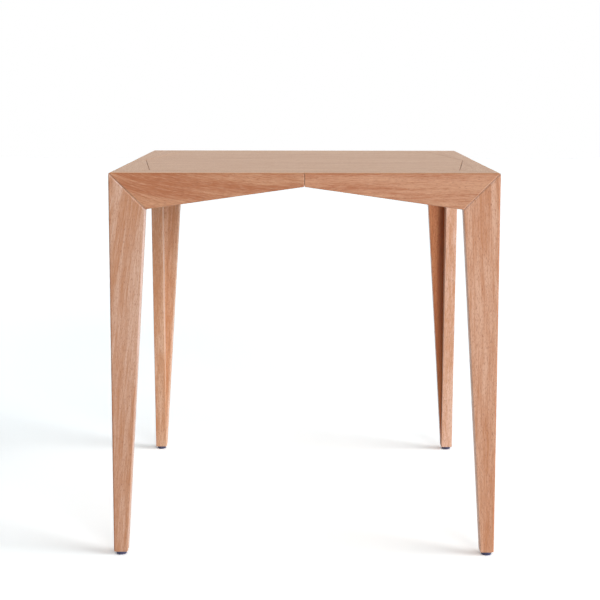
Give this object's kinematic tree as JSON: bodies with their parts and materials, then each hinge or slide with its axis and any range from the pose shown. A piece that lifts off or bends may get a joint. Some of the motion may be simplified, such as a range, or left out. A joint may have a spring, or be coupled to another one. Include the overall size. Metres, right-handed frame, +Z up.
{
  "type": "side table",
  "caption": "Square solid-wood side table with mitred corners, tapering legs and aprons, and a flush eight-sided top panel.",
  "frame": {"origin": "on the floor, under the middle of the square top", "axes": "+Z up, -Y towards the pictured front, +X to the right as seen from the front"},
  "size_m": [0.5, 0.5, 0.5048],
  "materials": {
    "leg_wood": "clear satin lacquer over straight grain",
    "apron_wood": "clear satin lacquer over slanting grain",
    "border_wood": "clear satin lacquer",
    "panel_wood": "clear satin lacquer over fine grain",
    "joinery_wood": "bare, glued in",
    "glide_plastic": "matte dark plastic"
  },
  "bodies": {
    "root": {"tabletop_panel": "panel_wood", "front_left_leg_front_board": "leg_wood", "front_left_leg_side_board": "leg_wood", "front_right_leg_front_board": "leg_wood", "front_right_leg_side_board": "leg_wood", "back_left_leg_back_board": "leg_wood", "back_left_leg_side_board": "leg_wood", "back_right_leg_back_board": "leg_wood", "back_right_leg_side_board": "leg_wood", "front_apron_left_half": "apron_wood", "front_apron_right_half": "apron_wood", "back_apron_left_half": "apron_wood", "back_apron_right_half": "apron_wood", "left_apron_front_half": "apron_wood", "left_apron_back_half": "apron_wood", "right_apron_front_half": "apron_wood", "right_apron_back_half": "apron_wood", "front_border_left_half": "border_wood", "front_border_right_half": "border_wood", "back_border_left_half": "border_wood", "back_border_right_half": "border_wood", "left_border_front_half": "border_wood", "left_border_back_half": "border_wood", "right_border_front_half": "border_wood", "right_border_back_half": "border_wood", "front_left_leg_spline": "joinery_wood", "front_right_leg_spline": "joinery_wood", "back_left_leg_spline": "joinery_wood", "back_right_leg_spline": "joinery_wood", "front_rim_left_spline": "joinery_wood", "front_rim_right_spline": "joinery_wood", "back_rim_left_spline": "joinery_wood", "back_rim_right_spline": "joinery_wood", "left_rim_front_spline": "joinery_wood", "left_rim_back_spline": "joinery_wood", "right_rim_front_spline": "joinery_wood", "right_rim_back_spline": "joinery_wood", "front_left_front_tenon": "joinery_wood", "front_left_side_tenon": "joinery_wood", "front_left_top_tenon": "joinery_wood", "front_right_front_tenon": "joinery_wood", "front_right_side_tenon": "joinery_wood", "front_right_top_tenon": "joinery_wood", "back_left_back_tenon": "joinery_wood", "back_left_side_tenon": "joinery_wood", "back_left_top_tenon": "joinery_wood", "back_right_back_tenon": "joinery_wood", "back_right_side_tenon": "joinery_wood", "back_right_top_tenon": "joinery_wood", "front_rim_dowel": "joinery_wood", "back_rim_dowel": "joinery_wood", "left_rim_dowel": "joinery_wood", "right_rim_dowel": "joinery_wood", "front_left_glide": "glide_plastic", "front_right_glide": "glide_plastic", "back_left_glide": "glide_plastic", "back_right_glide": "glide_plastic"}
  },
  "joints": []
}
